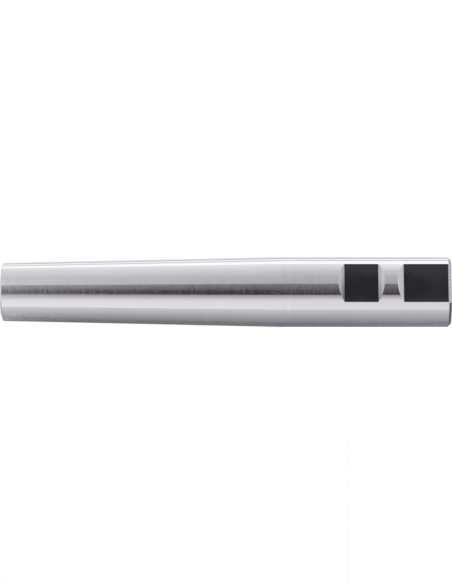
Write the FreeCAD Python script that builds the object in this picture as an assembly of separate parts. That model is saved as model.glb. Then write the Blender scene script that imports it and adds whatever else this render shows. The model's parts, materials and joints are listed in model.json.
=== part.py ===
import FreeCAD, Part

import math
import os

# Milling cutter extension: one turned and ground steel bar.
# Its parallel shank has two clamping flats on one side, and its neck tapers to a
# seat face with a pilot bore and a threaded socket for a screw-in cutter head.
# A coolant channel runs along the axis. All sizes are in millimetres.
#
# Frame: the origin is the centre of the shank's end face, +Z runs along the axis
# to the cutter, and the clamping flats face -Y. The bar stands on its shank end.

# Shank and neck
shank_diameter = 25.0
shank_length = 60.0
neck_length = 100.0
front_diameter = 20.7
shank_end_chamfer = 1.0
front_chamfer_length = 0.5  # along the axis
front_chamfer_width = 1.1

# Clamping flats: the locking flat lies between two flanks, and the end flat runs
# out over the shank's end face
height_over_flats = 22.8
locking_flat_width = 12.0
locking_flat_centre = 32.0  # above the shank's end
end_flat_length = 17.0
end_flat_bevel = 1.2  # where the end flat meets the end face
flank_angle = 45.0  # between a flank and its flat, in degrees
round_wall_gap = 1.0  # from the upper flank to the shank's fully round wall

# Cutter socket
pilot_diameter = 12.5
pilot_depth = 7.0
pilot_mouth_chamfer = 0.5
thread_diameter = 12.0  # the bore at the thread's root
thread_reach = 21.0
drill_point_angle = 118.0

# Coolant channel, with the centre at its lower mouth that the bar was ground on
coolant_diameter = 5.0
centre_diameter = 8.0
centre_angle = 60.0

# How far the cutting prisms stand out past the bar
overcut = 5.0

overall_length = shank_length + neck_length
shank_radius = shank_diameter / 2
front_radius = front_diameter / 2
flat_distance = height_over_flats - shank_radius  # from the axis to both flats
flank_slope = math.tan(math.radians(flank_angle))
locking_flat_low = locking_flat_centre - locking_flat_width / 2
locking_flat_high = locking_flat_centre + locking_flat_width / 2
cut_top = shank_radius + overcut
cut_flank_run = (cut_top - flat_distance) / flank_slope
upper_flank_end = locking_flat_high + (shank_radius - flat_distance) / flank_slope
# From here up the shank's wall is a face of its own, fully round, to measure the bar on
round_wall_foot = upper_flank_end + round_wall_gap


def cone_height(wide_diameter, narrow_diameter, included_angle):
    """Height of a cone between two diameters."""
    return (wide_diameter - narrow_diameter) / 2 / math.tan(math.radians(included_angle / 2))


def outer_profile():
    """Outline of the shank and the neck, as radius and height, from the bottom up."""
    taper = (shank_radius - front_radius) / neck_length
    return [
        (shank_radius - shank_end_chamfer, 0),
        (shank_radius, shank_end_chamfer),
        (shank_radius, round_wall_foot),
        (shank_radius, shank_length),
        (front_radius + front_chamfer_length * taper, overall_length - front_chamfer_length),
        (front_radius - front_chamfer_width, overall_length),
    ]


def inner_profile():
    """Outline of the socket and the coolant channel, from the top down."""
    pilot_radius = pilot_diameter / 2
    thread_radius = thread_diameter / 2
    coolant_radius = coolant_diameter / 2
    pilot_floor = overall_length - pilot_depth
    thread_end = pilot_floor - thread_reach
    point_height = cone_height(thread_diameter, coolant_diameter, drill_point_angle)
    centre_height = cone_height(centre_diameter, coolant_diameter, centre_angle)
    return [
        (pilot_radius + pilot_mouth_chamfer, overall_length),
        (pilot_radius, overall_length - pilot_mouth_chamfer),
        (pilot_radius, pilot_floor),
        (thread_radius, pilot_floor),
        (thread_radius, thread_end),
        (coolant_radius, thread_end - point_height),
        (coolant_radius, centre_height),
        (centre_diameter / 2, 0),
    ]


def turned_bar():
    """The bored bar before its flats are milled, revolved about Z."""
    points = [FreeCAD.Vector(radius, 0, height)
              for radius, height in outer_profile() + inner_profile()]
    section = Part.Face(Part.makePolygon(points + points[:1]))
    return section.revolve(FreeCAD.Vector(0, 0, 0), FreeCAD.Vector(0, 0, 1), 360)


def prism_across(points):
    """Prism that crosses the shank along X, from points of height and distance from the axis."""
    half_width = shank_radius + overcut
    corners = [FreeCAD.Vector(-half_width, -distance, height) for height, distance in points]
    side = Part.Face(Part.makePolygon(corners + corners[:1]))
    return side.extrude(FreeCAD.Vector(2 * half_width, 0, 0))


def locking_flat_cut():
    """Flat for the clamping screw, with a flank at each end."""
    return prism_across([
        (locking_flat_low, flat_distance),
        (locking_flat_high, flat_distance),
        (locking_flat_high + cut_flank_run, cut_top),
        (locking_flat_low - cut_flank_run, cut_top),
    ])


def end_flat_cut():
    """Flat that runs out at the shank's end over a 45 degree bevel."""
    return prism_across([
        (-overcut, flat_distance - end_flat_bevel - overcut),
        (end_flat_bevel, flat_distance),
        (end_flat_length, flat_distance),
        (end_flat_length + cut_flank_run, cut_top),
        (-overcut, cut_top),
    ])


os.makedirs("parts", exist_ok=True)
extension = turned_bar().cut([locking_flat_cut(), end_flat_cut()]).Solids[0]
extension.exportStep("parts/cutter_extension.step")
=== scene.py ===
import json
import math
from typing import NamedTuple

import bpy
from mathutils import Matrix, Vector


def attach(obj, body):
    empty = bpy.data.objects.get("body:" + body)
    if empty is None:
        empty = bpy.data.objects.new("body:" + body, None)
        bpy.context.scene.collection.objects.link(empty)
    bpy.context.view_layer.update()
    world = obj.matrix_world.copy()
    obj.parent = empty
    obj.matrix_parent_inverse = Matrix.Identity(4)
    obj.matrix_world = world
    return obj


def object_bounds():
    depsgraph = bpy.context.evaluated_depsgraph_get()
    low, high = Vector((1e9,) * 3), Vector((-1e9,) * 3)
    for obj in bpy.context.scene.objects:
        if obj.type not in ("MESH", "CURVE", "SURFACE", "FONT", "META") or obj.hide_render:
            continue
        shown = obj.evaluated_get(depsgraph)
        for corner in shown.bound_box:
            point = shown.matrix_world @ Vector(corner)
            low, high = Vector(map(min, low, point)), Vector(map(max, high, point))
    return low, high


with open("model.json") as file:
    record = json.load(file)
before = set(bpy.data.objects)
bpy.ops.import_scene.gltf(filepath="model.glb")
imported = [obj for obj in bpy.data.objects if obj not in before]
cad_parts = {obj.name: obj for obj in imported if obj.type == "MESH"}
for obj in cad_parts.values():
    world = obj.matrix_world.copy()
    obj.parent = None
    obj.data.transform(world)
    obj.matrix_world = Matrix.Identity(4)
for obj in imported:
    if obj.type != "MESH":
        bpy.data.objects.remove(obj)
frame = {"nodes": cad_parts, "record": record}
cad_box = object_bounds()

MM = 0.001

# The bar's sizes in millimetres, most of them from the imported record's mounts and the CAD box
mounts = {mount["name"]: mount for mount in frame["record"]["mounts"]}
SHANK_RADIUS = mounts["shank"]["dims"]["r_mm"]
SHANK_LENGTH = mounts["shank"]["pos_m"][2] / MM + mounts["shank"]["dims"]["length_mm"] / 2
FLAT_DISTANCE = -mounts["locking_flat"]["pos_m"][1] / MM  # from the axis to both flats
FLAT_HALF_WIDTH = math.sqrt(SHANK_RADIUS ** 2 - FLAT_DISTANCE ** 2)
BAR_LENGTH = cad_box[1][2] / MM
FRONT_RADIUS = 10.35  # where the neck's taper meets the seat face
NECK_TAPER = (SHANK_RADIUS - FRONT_RADIUS) / (BAR_LENGTH - SHANK_LENGTH)
PILOT_RADIUS = mounts["pilot_bore"]["dims"]["r_mm"]
THREAD_RADIUS = mounts["cutter_thread"]["dims"]["r_mm"]  # at the thread's root
THREAD_LENGTH = mounts["cutter_thread"]["dims"]["length_mm"]
THREAD_MIDDLE = mounts["cutter_thread"]["pos_m"][2] / MM
THREAD_PITCH = 1.75
THREAD_ANGLE = math.radians(60.0)
BEVEL_TOP = 1.5  # just above the end flat's bevel
LAND_HEIGHT = 20.0  # on the round land between the flats
RUN_OUT_HEIGHT = 57.7  # the faint ring where the ground shank ends
FLANK_LEAN = 0.08  # added to the flanks' normal, the way the flats face

# The camera looks at the bar's side and is rolled by a quarter turn, so that the
# standing bar lies across the picture with its shank end on the right. In metres.
CAMERA_DISTANCE = 1.154
CAMERA_HEIGHT = 0.070
AIM_HEIGHT = 0.080
CAMERA_LENS = 199.3
SENSOR = 36.0
FLATS_TURN = math.radians(18.0)  # from the line of sight towards the picture's top

towards_camera = Vector((-math.sin(FLATS_TURN), -math.cos(FLATS_TURN), 0.0))
picture_up = Vector((math.cos(FLATS_TURN), -math.sin(FLATS_TURN), 0.0))

# Tints of the studio's sheets, which multiply their levels
WHITE = (1.0, 1.0, 1.0)
ROSE = (1.03, 0.987, 1.0)
WARM = (1.0, 1.0, 0.98)
VIOLET = (1.015, 0.985, 1.07)
DEEP_VIOLET = (1.0, 0.96, 1.20)
BLUISH = (1.005, 0.99, 1.035)

# Distances and heights of the studio's sheets, in metres. The sheets go on below the
# floor, because the bar doesn't mirror the floor.
CARD_DISTANCE = 1.30
CARD_FOOT = -0.35
CARD_TOP = 0.38
LEVEL_HEIGHT = 0.14  # where a sheet has its stated level
BELT = (-0.03, 0.03, 0.09)  # the dimmer stretch that the shank mirrors
BACK_STEP = -0.03  # above what the shank's end mirrors
LOW_STEP = 0.08  # between what the shank and the neck mirror
HIGH_STEP = 0.215  # between what the neck's middle and its front end mirror
CEILING_HEIGHT = 1.90

# Colours of the steel and of its black finish
DARK_STEEL = (0.700, 0.694, 0.737, 1.0)
PALE_STEEL = (0.721, 0.715, 0.758, 1.0)
MARKED_STEEL = (0.728, 0.722, 0.765, 1.0)
RUN_OUT_STEEL = (0.738, 0.732, 0.776, 1.0)
# Darker in the bores: painted shade
BORE_STEEL = (0.56, 0.555, 0.575, 1.0)
# Painted shade on the bevel at the shank's end
BEVEL_SHADE_STEEL = (0.56, 0.555, 0.585, 1.0)
# Painted highlight on the end flat's flank rim
RIM_HIGHLIGHT_STEEL = (0.98, 0.975, 1.0, 1.0)
# Painted shade on the locking flat's flanks
FLANK_SHADE_STEEL = (0.16, 0.16, 0.175, 1.0)
# Painted shade in the thread's roots
THREAD_ROOT_STEEL = (0.46, 0.455, 0.475, 1.0)
THREAD_CREST_STEEL = (0.66, 0.655, 0.68, 1.0)
BLACK_COAT = (0.0100, 0.0095, 0.0162, 1.0)
LIGHTENED_BLACK = (0.0310, 0.0300, 0.0380, 1.0)


class Card(NamedTuple):
    """A tall sheet of the studio that stands round the bar from one bearing to another.

    Bearings are degrees from the camera, positive towards the picture's top. The
    levels are how bright the sheet is at those two edges, where 1 is white, and rise
    is the share by which it brightens for each metre above LEVEL_HEIGHT. The dip is the
    share of its light that it lacks at the middle of the three heights of BELT.
    """

    name: str
    start: float
    end: float
    start_level: float
    end_level: float
    rise: float = 0.0
    dip: float = 0.0
    tint: tuple = WHITE
    foot: float = CARD_FOOT
    top: float = CARD_TOP


class Plate(NamedTuple):
    """A level sheet above or below the bar, between two distances towards picture_up."""

    name: str
    height: float
    start: float
    end: float
    start_level: float
    end_level: float


# What the ground steel mirrors: the white room shows wherever no sheet hides it.
CARDS = (
    Card("front_flag_low", -9.5, 6.0, 0.064, 0.152, rise=1.5, tint=DEEP_VIOLET, top=LOW_STEP),
    Card("front_flag_low_side", 6.0, 27.0, 0.176, 0.395, rise=2.5, tint=VIOLET, top=LOW_STEP),
    Card("front_flag", -9.5, 6.0, 0.003, 0.018, tint=DEEP_VIOLET, foot=LOW_STEP, top=HIGH_STEP),
    Card("front_flag_side", 6.0, 27.0, 0.067, 0.226, rise=4.3, tint=VIOLET, foot=LOW_STEP),
    Card("front_flag_high", -4.5, 6.0, 0.046, 0.069, tint=DEEP_VIOLET, foot=HIGH_STEP),
    Card("front_flag_edge", -9.5, -4.5, 0.21, 0.05, tint=DEEP_VIOLET, foot=HIGH_STEP),
    Card("upper_card_inner", 27.0, 50.0, 0.545, 0.625, rise=0.45, dip=0.06),
    Card("upper_card_middle", 50.0, 80.0, 0.625, 0.88, rise=0.15, dip=0.17),
    Card("upper_card_outer", 80.0, 106.5, 0.88, 1.11, rise=-0.45, dip=0.23),
    Card("key_light", 106.5, 121.5, 1.38, 1.38, tint=WARM, top=HIGH_STEP),
    Card("key_light_edge", 106.5, 108.5, 1.02, 1.02, foot=HIGH_STEP),
    Card("key_light_high", 108.5, 121.5, 1.38, 1.38, tint=WARM, foot=HIGH_STEP),
    Card("rim_gap", 121.5, 131.0, 0.88, 0.88, tint=WARM),
    Card("rim_light", 131.0, 140.5, 1.25, 1.25, tint=WARM),
    Card("rim_line", 140.5, 152.0, 0.70, 0.70, tint=WARM),
    Card("rim_edge", 152.0, 180.0, 0.88, 0.88, tint=WARM),
    Card("lower_card_inner", -30.0, -9.5, 0.94, 0.36, rise=-0.3, tint=ROSE, top=0.36),
    Card("lower_card_outer", -59.8, -30.0, 1.04, 0.96, rise=0.3, tint=ROSE, top=0.36),
    Card("lower_flag_inner", -90.0, -59.8, 0.50, 0.78, dip=0.10, top=0.335),
    Card("lower_flag_outer", -130.0, -90.0, 0.222, 0.49, rise=-0.5, dip=0.18, tint=BLUISH, top=0.315),
    Card("back_flag_low", -180.0, -130.0, 0.27, 0.29, tint=BLUISH, top=BACK_STEP),
    Card("back_flag", -180.0, -130.0, 0.19, 0.215, rise=-0.6, tint=BLUISH, foot=BACK_STEP, top=0.286),
    Card("overhead_box", 27.0, 62.0, 2.0, 1.2, foot=CARD_TOP, top=1.10),
    Card("high_flag", -180.0, -95.0, 0.40, 0.40, foot=0.60, top=1.25),
    Card("high_card", -180.0, -150.0, 0.80, 0.80, foot=1.25, top=CEILING_HEIGHT),
    Card("high_back_card", 150.0, 180.0, 0.80, 0.80, foot=0.60, top=CEILING_HEIGHT),
)
PLATES = (
    Plate("ground_dark", CARD_FOOT, -CARD_DISTANCE, -0.03, 0.15, 0.15),
    Plate("ground_light", CARD_FOOT, -0.03, 0.30, 1.10, 0.45),
    Plate("ground_edge", CARD_FOOT, 0.30, CARD_DISTANCE, 0.40, 0.40),
    Plate("ceiling", CEILING_HEIGHT, -CARD_DISTANCE, CARD_DISTANCE, 0.80, 0.80),
)


class Nodes:
    """Short calls for building a node tree."""

    def __init__(self, tree):
        self.tree = tree
        tree.nodes.clear()

    def add(self, kind, inputs=(), **settings):
        node = self.tree.nodes.new(kind)
        for name, value in settings.items():
            setattr(node, name, value)
        for name, value in dict(inputs).items():
            self.put(node.inputs[name], value)
        return node

    def put(self, socket, value):
        if isinstance(value, bpy.types.NodeSocket):
            self.tree.links.new(value, socket)
        else:
            socket.default_value = value

    def math(self, operation, *values):
        node = self.add("ShaderNodeMath", operation=operation)
        for socket, value in zip(node.inputs, values):
            self.put(socket, value)
        return node.outputs[0]

    def vector(self, operation, *values):
        node = self.add("ShaderNodeVectorMath", operation=operation)
        for socket, value in zip(node.inputs, values):
            self.put(socket, value)
        return node.outputs["Value" if operation == "LENGTH" else "Vector"]

    def split(self, vector):
        node = self.add("ShaderNodeSeparateXYZ", {0: vector})
        return node.outputs[0], node.outputs[1], node.outputs[2]

    def join(self, x, y, z):
        return self.add("ShaderNodeCombineXYZ", {0: x, 1: y, 2: z}).outputs[0]

    def fade(self, value, start, end, low=0.0, high=1.0):
        """From low at start to high at end, smoothly."""
        node = self.add("ShaderNodeMapRange", {
            "Value": value, "From Min": start, "From Max": end, "To Min": low, "To Max": high,
        }, interpolation_type="SMOOTHSTEP")
        return node.outputs["Result"]

    def both(self, *masks):
        """1 where all the masks are 1, and 0 elsewhere."""
        whole = masks[0]
        for mask in masks[1:]:
            whole = self.math("MULTIPLY", whole, mask)
        return whole

    def near(self, value, target, reach):
        """1 where the value is within reach of the target, and 0 elsewhere."""
        return self.math("COMPARE", value, target, reach)

    def noise(self, vector, scale, detail):
        node = self.add("ShaderNodeTexNoise", {"Vector": vector, "Scale": scale, "Detail": detail})
        return node.outputs["Fac"]

    def mix_vector(self, share, first, second):
        node = self.add("ShaderNodeMix", data_type="VECTOR")
        self.put(node.inputs[0], share)
        self.put(node.inputs[4], first)
        self.put(node.inputs[5], second)
        return node.outputs[1]

    def mix_colour(self, share, first, second):
        node = self.add("ShaderNodeMix", data_type="RGBA")
        self.put(node.inputs[0], share)
        self.put(node.inputs[6], first)
        self.put(node.inputs[7], second)
        return node.outputs[2]

    def mix_number(self, share, first, second):
        node = self.add("ShaderNodeMix", data_type="FLOAT")
        self.put(node.inputs[0], share)
        self.put(node.inputs[2], first)
        self.put(node.inputs[3], second)
        return node.outputs[0]


def add_object(name, data):
    thing = bpy.data.objects.new(name, data)
    bpy.context.scene.collection.objects.link(thing)
    return thing


def add_camera():
    data = bpy.data.cameras.new("camera")
    data.sensor_width = SENSOR
    data.lens = CAMERA_LENS
    data.clip_start = 0.01
    data.clip_end = 100.0
    camera = add_object("camera", data)
    place = Vector((0.0, 0.0, CAMERA_HEIGHT)) + towards_camera * CAMERA_DISTANCE
    backwards = (place - Vector((0.0, 0.0, AIM_HEIGHT))).normalized()
    picture_right = picture_up.cross(backwards)
    turn = Matrix((picture_right, picture_up, backwards)).transposed()
    camera.matrix_world = Matrix.Translation(place) @ turn.to_4x4()
    bpy.context.scene.camera = camera


def white_room():
    world = bpy.data.worlds.new("white_room")
    bpy.context.scene.world = world
    world.use_nodes = True
    n = Nodes(world.node_tree)
    white = n.add("ShaderNodeBackground", {"Color": (1, 1, 1, 1), "Strength": 1.0})
    n.add("ShaderNodeOutputWorld", {"Surface": white.outputs[0]})


def card_light():
    """Light of the cards, as bright as each card's own shade."""
    material = bpy.data.materials.new("card_light")
    material.use_nodes = True
    n = Nodes(material.node_tree)
    shade = n.add("ShaderNodeAttribute", attribute_name="shade").outputs["Color"]
    light = n.add("ShaderNodeEmission", {"Color": shade, "Strength": 1.0})
    n.add("ShaderNodeOutputMaterial", {"Surface": light.outputs[0]})
    return material


def add_sheet(name, points, faces, shades, material):
    mesh = bpy.data.meshes.new(name)
    mesh.from_pydata(points, [], faces)
    shade = mesh.attributes.new("shade", "FLOAT_COLOR", "POINT")
    for corner, colour in zip(shade.data, shades):
        corner.color = (*colour, 1.0)
    mesh.materials.append(material)
    sheet = add_object(name, mesh)
    sheet.visible_camera = False


def add_card(card, material):
    steps = max(2, round((card.end - card.start) / 3.0))
    heights = [card.foot, *(height for height in BELT if card.foot < height < card.top), card.top]
    points, shades = [], []
    for step in range(steps + 1):
        share = step / steps
        bearing = math.radians(card.start + (card.end - card.start) * share)
        across = (towards_camera * math.cos(bearing) + picture_up * math.sin(bearing)) * CARD_DISTANCE
        level = card.start_level + (card.end_level - card.start_level) * share
        for height in heights:
            lit = level * (1.0 + card.rise * (height - LEVEL_HEIGHT))
            if height == BELT[1]:
                lit *= 1.0 - card.dip
            points.append(across + Vector((0, 0, height)))
            shades.append([lit * part for part in card.tint])
    rows = len(heights)
    corners = [step * rows + row for step in range(steps) for row in range(rows - 1)]
    faces = [(corner, corner + rows, corner + rows + 1, corner + 1) for corner in corners]
    add_sheet(card.name, points, faces, shades, material)


def add_plate(plate, material):
    points, shades = [], []
    for reach, level in ((plate.start, plate.start_level), (plate.end, plate.end_level)):
        for side in (-CARD_DISTANCE, CARD_DISTANCE):
            points.append(picture_up * reach + towards_camera * side + Vector((0, 0, plate.height)))
            shades.append([level] * 3)
    add_sheet(plate.name, points, [(0, 1, 3, 2)], shades, material)


def floor_white():
    """White to the camera, and dimmer where the bar's shadow falls."""
    material = bpy.data.materials.new("floor_white")
    material.use_nodes = True
    n = Nodes(material.node_tree)
    path = n.add("ShaderNodeLightPath")
    seen = n.math("MAXIMUM", path.outputs["Is Camera Ray"], path.outputs["Is Transmission Ray"])
    floor = n.add("ShaderNodeBsdfPrincipled", {
        "Base Color": (0.86, 0.86, 0.86, 1),
        "Roughness": 0.9,
        "Specular IOR Level": 0.0,
        "Emission Color": (1, 1, 1, 1),
        "Emission Strength": n.math("MULTIPLY", seen, 0.5),
    })
    n.add("ShaderNodeOutputMaterial", {"Surface": floor.outputs[0]})
    return material


def add_floor():
    """The floor takes the bar's shadow. The bar mirrors the studio instead of it."""
    reach = 6.0
    level = -0.02 * MM
    mesh = bpy.data.meshes.new("floor")
    corners = [(-reach, -reach, level), (reach, -reach, level),
               (reach, reach, level), (-reach, reach, level)]
    mesh.from_pydata(corners, [], [(0, 1, 2, 3)])
    mesh.materials.append(floor_white())
    floor = add_object("floor", mesh)
    floor.visible_glossy = False
    floor.visible_shadow = False


class BarPlaces:
    """Where a point of the bar lies, in millimetres, for the materials to go by."""

    def __init__(self, n):
        self.n = n
        place = n.add("ShaderNodeTexCoord").outputs["Object"]
        self.place = n.vector("MULTIPLY", place, (1 / MM, 1 / MM, 1 / MM))
        self.x, self.y, self.z = n.split(self.place)
        self.radius = n.vector("LENGTH", n.join(self.x, self.y, 0.0))
        geometry = n.add("ShaderNodeNewGeometry")
        self.shading_normal = geometry.outputs["Normal"]
        self.face = n.split(geometry.outputs["True Normal"])
        self.lift = n.math("ABSOLUTE", self.face[2])  # 0 on upright walls, 1 on level faces

    def on_flats(self):
        n = self.n
        return n.both(n.near(self.y, -FLAT_DISTANCE, 0.05),
                      n.math("LESS_THAN", self.face[1], -0.98),
                      n.math("LESS_THAN", self.z, SHANK_LENGTH))

    def on_flanks(self):
        """The 45 degree faces at the flats' ends, with the end flat's bevel."""
        n = self.n
        return n.both(n.near(self.face[1], -math.sqrt(0.5), 0.02),
                      n.math("LESS_THAN", n.math("ABSOLUTE", self.face[0]), 0.05),
                      n.math("LESS_THAN", self.y, -0.7 * SHANK_RADIUS),
                      n.math("LESS_THAN", self.z, SHANK_LENGTH))

    def on_neck(self):
        return self.n.math("GREATER_THAN", self.z, SHANK_LENGTH)

    def on_wall(self):
        """The ground outside of the shank and the neck, without flats and chamfers."""
        n = self.n
        height = n.math("MAXIMUM", n.math("SUBTRACT", self.z, SHANK_LENGTH), 0.0)
        wall = n.math("SUBTRACT", SHANK_RADIUS, n.math("MULTIPLY", height, NECK_TAPER))
        off_flats = n.math("SUBTRACT", 1.0, self.on_flats())
        return n.both(n.near(self.radius, wall, 0.06), off_flats,
                      n.math("LESS_THAN", self.lift, 0.3))

    def inside(self):
        """The socket, the coolant channel and the ground centre."""
        n = self.n
        return n.both(n.math("LESS_THAN", self.radius, PILOT_RADIUS + 0.45),
                      n.math("GREATER_THAN", self.z, 0.01))

    def ring_marks(self, length, width, detail, seed=0.0):
        """Noise drawn out round the bar: marks of this length and width in millimetres."""
        n = self.n
        across = n.mix_number(n.math("GREATER_THAN", self.lift, 0.9), self.z, self.radius)
        stretched = n.vector("MULTIPLY", n.join(self.x, self.y, across),
                             (1 / length, 1 / length, 1 / width))
        return n.noise(n.vector("ADD", stretched, (seed, seed, seed)), scale=1.0, detail=detail)


def wall_normal(n, bar, sway, tilt):
    """The true normal of the turned wall, swayed and tilted a little by each mark."""
    outward = n.join(n.math("DIVIDE", bar.x, bar.radius), n.math("DIVIDE", bar.y, bar.radius), 0.0)
    sideways = n.vector("CROSS_PRODUCT", (0.0, 0.0, 1.0), outward)
    swayed = n.vector("ADD", outward,
                      n.vector("MULTIPLY", sideways, n.join(sway, sway, sway)))
    rise = n.math("MULTIPLY_ADD", bar.on_neck(), NECK_TAPER, tilt)
    tilted = n.vector("ADD", swayed, n.join(0.0, 0.0, rise))
    return n.vector("NORMALIZE", tilted)


def centred(n, noise, strength):
    """Noise about zero, this strong."""
    return n.math("MULTIPLY", n.math("SUBTRACT", noise, 0.5), strength)


def black_oxide(n, bar):
    """The blackened flats, lighter towards their long edges, most at the +X one, and towards the
    shank's end.
    """
    upper_edge = n.fade(bar.x, 0.5, FLAT_HALF_WIDTH, high=1.4)
    lower_edge = n.fade(bar.x, -0.6 * FLAT_HALF_WIDTH, -FLAT_HALF_WIDTH, high=0.5)
    shank_end = n.fade(bar.z, 17.0, 4.0, high=0.4)
    clouds = centred(n, n.noise(bar.place, scale=0.22, detail=3.0), 1.5)
    lightening = n.math("ADD", n.math("ADD", upper_edge, lower_edge), n.math("ADD", shank_end, clouds))
    lightening = n.math("MAXIMUM", lightening, 0.0)
    return n.mix_colour(lightening, BLACK_COAT, LIGHTENED_BLACK)


def flank_tint(n, bar, steel_tint):
    """Tint of the flanks, with painted light: painted shade on the locking flat's two, darker
    near the flat and towards -X, a painted highlight on the rim of the end flat's one, and
    painted shade on the bevel at the shank's end.
    """
    height = n.math("SUBTRACT", n.math("MULTIPLY", bar.y, -1.0), FLAT_DISTANCE)
    # Painted shade: the locking flat's flanks darken near the flat and towards -X
    foot = n.fade(height, 1.7, 0.4, high=0.25)
    lower = n.fade(bar.x, 4.0, -6.0, high=0.27)
    locking = n.math("GREATER_THAN", bar.z, LAND_HEIGHT)
    painted_flank_shade = n.math("MULTIPLY", n.math("ADD", foot, lower), locking)
    # Painted highlight along the rim of the end flat's flank, stronger towards -X
    rim = n.both(n.fade(bar.radius, SHANK_RADIUS - 0.35, SHANK_RADIUS - 0.05),
                 n.math("SUBTRACT", 1.0, locking), n.fade(bar.x, 2.0, -1.0))
    tint = n.mix_colour(painted_flank_shade, steel_tint, FLANK_SHADE_STEEL)
    tint = n.mix_colour(rim, tint, RIM_HIGHLIGHT_STEEL)
    # Painted shade: the bevel at the shank's end is darkened
    return n.mix_colour(n.math("LESS_THAN", bar.z, BEVEL_TOP), tint, BEVEL_SHADE_STEEL)


def ground_steel():
    material = bpy.data.materials.new("ground_steel")
    material.use_nodes = True
    n = Nodes(material.node_tree)
    bar = BarPlaces(n)
    flats = bar.on_flats()
    flanks = bar.on_flanks()
    inside = bar.inside()

    fine = bar.ring_marks(length=2.2, width=0.28, detail=0.0)
    broad = bar.ring_marks(length=18.0, width=1.3, detail=2.0, seed=7.0)
    patches = n.noise(bar.place, scale=0.5, detail=3.0)

    # Steel, with a little more or less shine from mark to mark, and darker and rougher in the
    #     bores, where the darker colour is painted shade
    steel_tint = n.mix_colour(broad, DARK_STEEL, PALE_STEEL)
    # The strongest of the fine marks are paler, and scatter a little of their light
    dull = n.fade(fine, 0.43, 0.70)
    steel_tint = n.mix_colour(dull, steel_tint, MARKED_STEEL)
    # A faint bright ring where the ground shank ends
    from_ring = n.math("ABSOLUTE", n.math("SUBTRACT", bar.z, RUN_OUT_HEIGHT))
    steel_tint = n.mix_colour(n.fade(from_ring, 0.9, 0.2, high=0.8), steel_tint, RUN_OUT_STEEL)
    steel_tint = n.mix_colour(inside, steel_tint, BORE_STEEL)
    # The flanks take painted shade and a painted highlight from flank_tint
    steel_tint = n.mix_colour(flanks, steel_tint, flank_tint(n, bar, steel_tint))
    tint = n.mix_colour(flats, steel_tint, black_oxide(n, bar))

    steel_rough = n.math("MULTIPLY_ADD", broad, 0.004, 0.096)
    steel_rough = n.mix_number(flanks, steel_rough, 0.13)
    steel_rough = n.mix_number(inside, steel_rough, 0.30)
    black_rough = n.math("MULTIPLY_ADD", patches, 0.16, 0.38)
    rough = n.mix_number(flats, steel_rough, black_rough)

    metal = n.math("SUBTRACT", 1.0, n.math("MAXIMUM", flats, n.math("MULTIPLY", dull, 0.06)))

    # Each mark turns the wall a little round the bar and along it, which frays what it mirrors
    sway = centred(n, fine, 0.01)
    tilt = n.math("ADD", centred(n, broad, 0.006), centred(n, fine, 0.027))
    # The flanks' shading leans a little the way the flats face, so it mirrors past the flats
    leaned = n.vector("NORMALIZE", n.vector("ADD", bar.shading_normal, (0.0, -FLANK_LEAN, 0.0)))
    normal = n.mix_vector(flanks, bar.shading_normal, leaned)
    normal = n.mix_vector(bar.on_wall(), normal, wall_normal(n, bar, sway, tilt))
    relief = n.math("MULTIPLY_ADD", broad, 0.6, fine)
    bump = n.add("ShaderNodeBump", {
        "Strength": 1.0, "Distance": 0.0005 * MM, "Height": relief, "Normal": normal,
    })

    tangent = n.add("ShaderNodeTangent", direction_type="RADIAL", axis="Z")
    steel = n.add("ShaderNodeBsdfPrincipled", {
        "Base Color": tint,
        "Metallic": metal,
        "Roughness": rough,
        "Specular IOR Level": 0.25,
        "Anisotropic": 1.0,
        "Anisotropic Rotation": 0.25,
        "Normal": bump.outputs[0],
        "Tangent": tangent.outputs[0],
    })
    n.add("ShaderNodeOutputMaterial", {"Surface": steel.outputs[0]})
    return material


def tapped_steel():
    """The thread's flanks: bright steel with drag marks along the ridge, darkened towards the roots
    with painted shade.
    """
    material = bpy.data.materials.new("tapped_steel")
    material.use_nodes = True
    n = Nodes(material.node_tree)
    bar = BarPlaces(n)
    drag = bar.ring_marks(length=5.0, width=0.12, detail=3.0)
    patches = n.noise(bar.place, scale=0.9, detail=3.0)
    # Painted shade: darker towards the thread's roots, lighter at the crests
    crest = n.fade(bar.radius, THREAD_RADIUS - 0.1, THREAD_RADIUS - 0.9)
    tint = n.mix_colour(crest, THREAD_ROOT_STEEL, THREAD_CREST_STEEL)
    rough = n.math("MULTIPLY_ADD", patches, 0.16, 0.20)
    bump = n.add("ShaderNodeBump", {"Strength": 1.0, "Distance": 0.002 * MM, "Height": drag})
    steel = n.add("ShaderNodeBsdfPrincipled", {
        "Base Color": tint,
        "Metallic": 1.0,
        "Roughness": rough,
        "Normal": bump.outputs[0],
    })
    n.add("ShaderNodeOutputMaterial", {"Surface": steel.outputs[0]})
    return material


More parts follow.
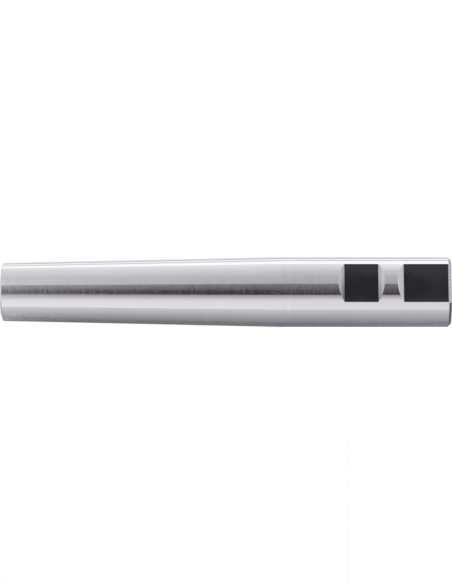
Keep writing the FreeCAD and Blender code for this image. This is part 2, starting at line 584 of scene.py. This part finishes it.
def add_socket_thread():
    """The socket's right-hand thread: one ridge that winds up the bore's wall."""
    turn_steps = 96
    bite = 0.05  # how far the ridge's root is let into the wall
    end_gap = 0.05  # from the ridge's ends to those of the tapped length
    end_depth = 0.12  # share of the full depth that the ridge's ends have
    foot_turns = 1.5  # that the ridge takes to its full depth from its foot
    slope = math.tan(THREAD_ANGLE / 2)
    depth = THREAD_PITCH * 5 / 8 * math.cos(THREAD_ANGLE / 2)
    crest_half = THREAD_PITCH / 8
    root_radius = THREAD_RADIUS + bite
    root_half = crest_half + (depth + bite) * slope
    low = THREAD_MIDDLE - THREAD_LENGTH / 2 + root_half + end_gap
    high = THREAD_MIDDLE + THREAD_LENGTH / 2 - root_half - end_gap
    steps = round((high - low) / THREAD_PITCH * turn_steps)
    points = []
    for step in range(steps + 1):
        angle = 2 * math.pi * step / turn_steps
        middle = low + THREAD_PITCH * step / turn_steps
        # The ridge starts shallow at the socket's mouth and runs out at its foot
        to_mouth = (steps - step) / turn_steps
        from_foot = step / turn_steps / foot_turns
        cut = min(1.0, end_depth + to_mouth, end_depth + from_foot)
        crest_radius = THREAD_RADIUS - depth * cut
        half = crest_half + depth * (1 - cut) * slope
        section = ((root_radius, -root_half), (crest_radius, -half),
                   (crest_radius, half), (root_radius, root_half))
        for radius, rise in section:
            points.append(Vector((radius * math.cos(angle), radius * math.sin(angle),
                                  middle + rise)) * MM)
    faces = [(0, 1, 2, 3), tuple(4 * steps + corner for corner in (3, 2, 1, 0))]
    for step in range(steps):
        for corner in range(4):
            a = 4 * step + corner
            b = 4 * step + (corner + 1) % 4
            faces.append((a, a + 4, b + 4, b))
    mesh = bpy.data.meshes.new("socket_thread")
    mesh.from_pydata(points, [], faces)
    mesh.materials.append(tapped_steel())
    mesh.shade_smooth()
    mesh.set_sharp_from_angle(angle=math.radians(25.0))
    thread = add_object("socket_thread", mesh)
    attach(thread, "root")


add_camera()
white_room()
add_floor()
light = card_light()
for card in CARDS:
    add_card(card, light)
for plate in PLATES:
    add_plate(plate, light)

body = frame["nodes"]["cutter_extension"]
body.material_slots[0].material = ground_steel()
add_socket_thread()

bpy.context.scene.view_settings.view_transform = "Standard"
